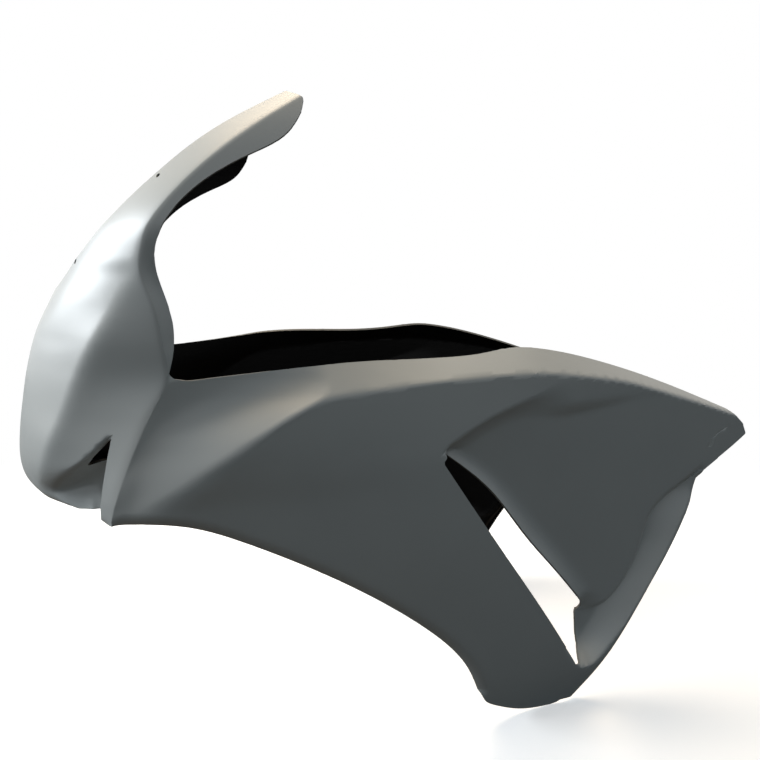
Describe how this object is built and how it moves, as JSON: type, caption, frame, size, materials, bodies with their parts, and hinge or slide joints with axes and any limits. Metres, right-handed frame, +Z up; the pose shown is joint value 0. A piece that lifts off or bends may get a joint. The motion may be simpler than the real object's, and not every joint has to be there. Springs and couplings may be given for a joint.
{
  "type": "motorcycle upper fairing",
  "caption": "One-piece motorcycle upper fairing: thin moulded nose with windscreen arms and intakes, and side panels with a slanted vent slot each.",
  "frame": {"origin": "inside the nose on the centre plane, where the front stay bears on the laminate", "axes": "+X rearwards along the machine, +Y to the rider's right, +Z up"},
  "size_m": [0.9586, 0.4104, 0.7752],
  "materials": {
    "gelcoat": "satin grey primer gelcoat outside, raw black laminate inside"
  },
  "bodies": {
    "root": {"fairing_shell": "gelcoat"}
  },
  "joints": []
}
